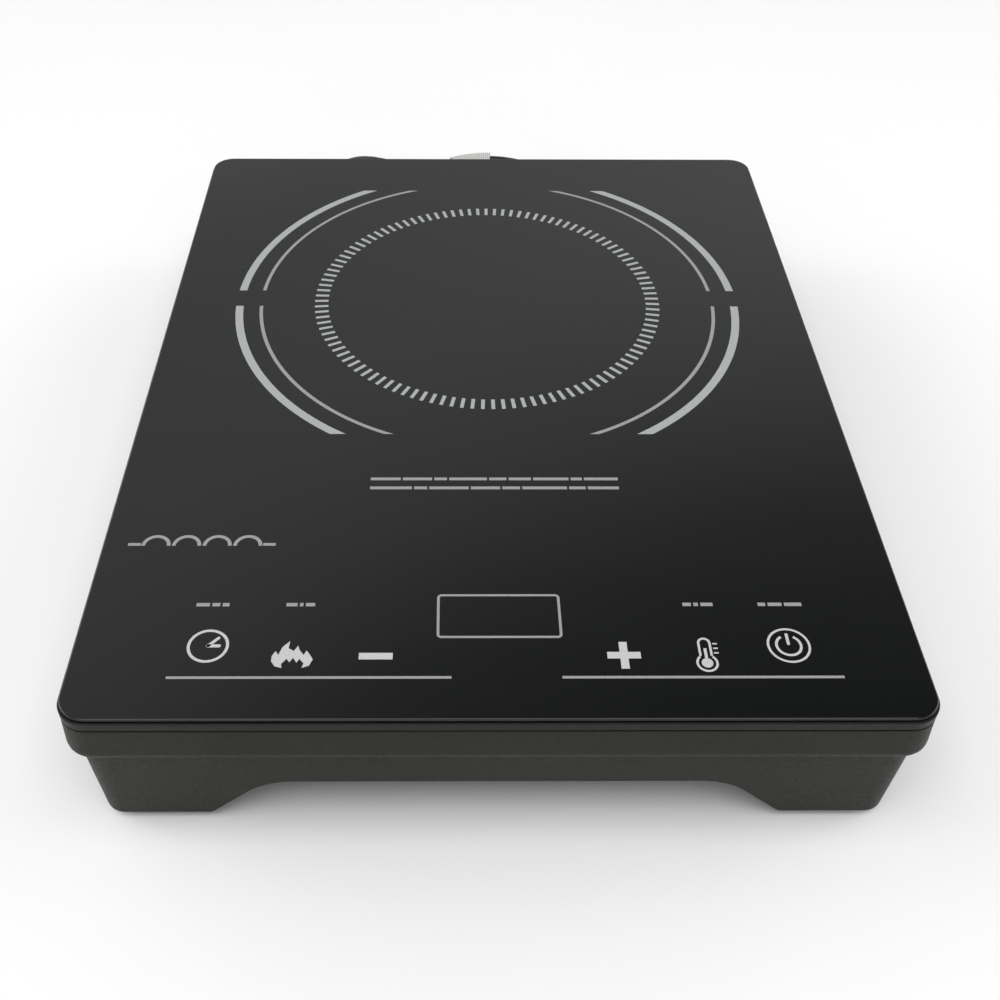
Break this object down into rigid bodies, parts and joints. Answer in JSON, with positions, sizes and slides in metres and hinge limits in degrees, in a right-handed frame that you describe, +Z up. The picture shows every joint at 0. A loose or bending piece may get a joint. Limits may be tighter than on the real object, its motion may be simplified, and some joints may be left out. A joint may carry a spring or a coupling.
{
  "type": "portable induction cooktop",
  "caption": "Flat countertop induction cooktop: black glass plate with a cooking zone and touch keys on a dark housing with arched corner feet, a cooling fan inside and a coiled cord.",
  "frame": {"origin": "on the floor under the middle of the housing, without the cord", "axes": "+X to the user's right, +Y from the keys towards the back, +Z up out of the glass"},
  "size_m": [0.2822, 0.4535, 0.0635],
  "materials": {
    "black_glass": "polished black ceramic glass",
    "seal_silicone": "matte",
    "housing_plastic": "fine-textured matte",
    "foot_rubber": "matte",
    "screw_steel": "zinc plated",
    "mica": "matte",
    "copper_wire": "enamelled copper",
    "white_plastic": "satin",
    "ferrite": "matte",
    "wire_cover": "satin",
    "brass_terminal": "plain",
    "black_plastic": "satin",
    "laminated_steel": "plain",
    "board": "solder mask",
    "sink_aluminium": "extruded",
    "component_black": "moulded",
    "film_capacitor": "moulded",
    "lamp_lens": "clear",
    "cord_rubber": "satin",
    "tie_strap": "woven",
    "blade_metal": "nickel plated"
  },
  "bodies": {
    "housing": {"glass_top": "black_glass", "glass_seal": "seal_silicone", "top_frame": "housing_plastic", "bottom_housing": "housing_plastic", "rubber_feet": "foot_rubber", "housing_screws": "screw_steel", "mica_sheet": "mica", "coil_winding": "copper_wire", "coil_carrier": "white_plastic", "ferrite_bars": "ferrite", "coil_screws": "screw_steel", "coil_leads": "wire_cover", "coil_terminals": "brass_terminal", "glass_sensor": "white_plastic", "sensor_holder": "white_plastic", "fan_frame": "black_plastic", "fan_bearing": "brass_terminal", "fan_stator": "laminated_steel", "fan_screws": "screw_steel", "fan_lead": "wire_cover", "air_guide": "white_plastic", "main_board": "board", "board_screws": "screw_steel", "heat_sink": "sink_aluminium", "power_transistor": "component_black", "bridge_rectifier": "component_black", "resonant_capacitor": "film_capacitor", "smoothing_capacitor": "film_capacitor", "filter_capacitor": "film_capacitor", "choke_core": "ferrite", "choke_winding": "copper_wire", "transformer": "ferrite", "electrolytic_capacitors": "component_black", "fuse": "white_plastic", "varistor": "film_capacitor", "terminal_block": "white_plastic", "mains_wires": "wire_cover", "control_bracket": "white_plastic", "bracket_screws": "screw_steel", "control_board": "board", "control_screws": "screw_steel", "touch_springs": "screw_steel", "display_module": "component_black", "indicator_lamps": "lamp_lens", "buzzer": "component_black", "ribbon_connectors": "white_plastic", "ribbon_cable": "wire_cover", "cord_clamp": "white_plastic", "clamp_screws": "screw_steel", "strain_relief": "cord_rubber", "cord_lead": "cord_rubber", "cord_ring": "cord_rubber", "cord_tail": "cord_rubber", "cord_tie": "tie_strap", "plug_body": "cord_rubber", "plug_blades": "blade_metal"},
    "fan_rotor": {"fan_impeller": "black_plastic", "fan_shaft": "screw_steel"}
  },
  "joints": [
    {"name": "fan_spin", "type": "hinge", "parent": "housing", "child": "fan_rotor", "pos_m": [-0.062, 0.086, 0.03], "axis": [0, 0, 1], "continuous": true}
  ]
}
